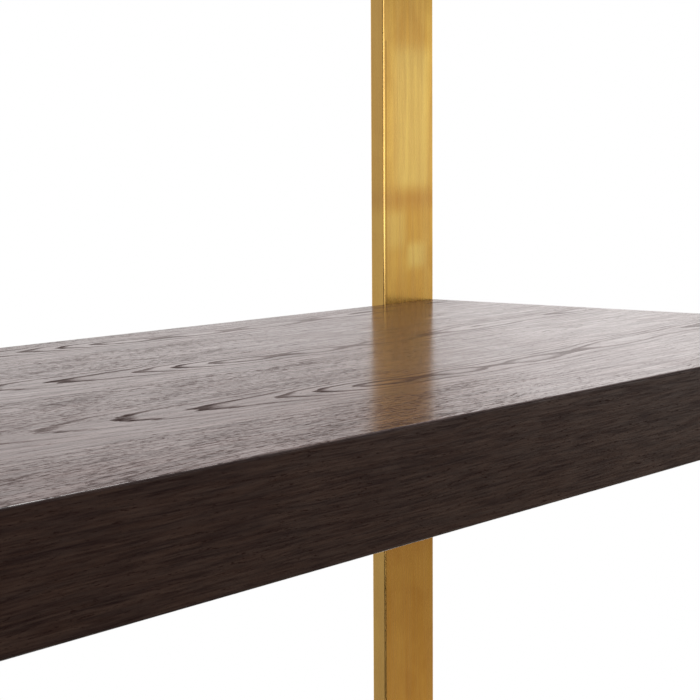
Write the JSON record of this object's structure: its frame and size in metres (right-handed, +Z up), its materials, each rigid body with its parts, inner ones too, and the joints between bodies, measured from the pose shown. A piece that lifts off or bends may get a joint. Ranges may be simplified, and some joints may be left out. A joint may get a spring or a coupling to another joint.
{
  "type": "wall shelf with brackets",
  "caption": "Thick dark oak shelf on concealed steel arms, carried by flat brushed-brass uprights that hang on the wall by keyhole slots.",
  "frame": {"origin": "on the wall plane, midway between the uprights, level with the top face of the shelf", "axes": "+X along the shelf, +Y into the wall, +Z up; the front of the shelf faces -Y"},
  "size_m": [0.9, 0.3575, 0.6],
  "materials": {
    "brass": "brushed along its length, lacquered",
    "insert_brass": "turned",
    "arm_steel": "satin black powder coat",
    "black_screws": "black oxide",
    "wall_screws": "bright zinc plate",
    "plugs": "grey nylon",
    "pads": "black rubber",
    "oak": "dark-stained oak veneer, satin lacquer",
    "rail": "dark-stained solid oak",
    "core": "bare birch plywood"
  },
  "bodies": {
    "uprights": {"upright_left": "brass", "support_arm_left": "arm_steel", "arm_bolt_left_upper": "black_screws", "arm_bolt_left_lower": "black_screws", "wall_screw_left_upper": "wall_screws", "wall_screw_left_lower": "wall_screws", "wall_plug_left_upper": "plugs", "wall_plug_left_lower": "plugs", "wall_pad_left_upper": "pads", "wall_pad_left_lower": "pads", "upright_right": "brass", "support_arm_right": "arm_steel", "arm_bolt_right_upper": "black_screws", "arm_bolt_right_lower": "black_screws", "wall_screw_right_upper": "wall_screws", "wall_screw_right_lower": "wall_screws", "wall_plug_right_upper": "plugs", "wall_plug_right_lower": "plugs", "wall_pad_right_upper": "pads", "wall_pad_right_lower": "pads"},
    "shelf": {"top_panel": "oak", "bottom_panel": "oak", "front_fascia": "oak", "end_board_left": "oak", "end_board_right": "oak", "rear_rail": "rail", "front_rail": "core", "core_rib_1": "core", "core_rib_2": "core", "core_rib_3": "core", "arm_guide_left_inner": "core", "arm_guide_left_outer": "core", "insert_left_rear": "insert_brass", "insert_left_front": "insert_brass", "set_screw_left_rear": "black_screws", "set_screw_left_front": "black_screws", "arm_guide_right_inner": "core", "arm_guide_right_outer": "core", "insert_right_rear": "insert_brass", "insert_right_front": "insert_brass", "set_screw_right_rear": "black_screws", "set_screw_right_front": "black_screws"}
  },
  "joints": [
    {"name": "shelf_slide", "type": "slide", "parent": "uprights", "child": "shelf", "axis": [0, -1, 0], "range_m": [0, 0.22]}
  ]
}
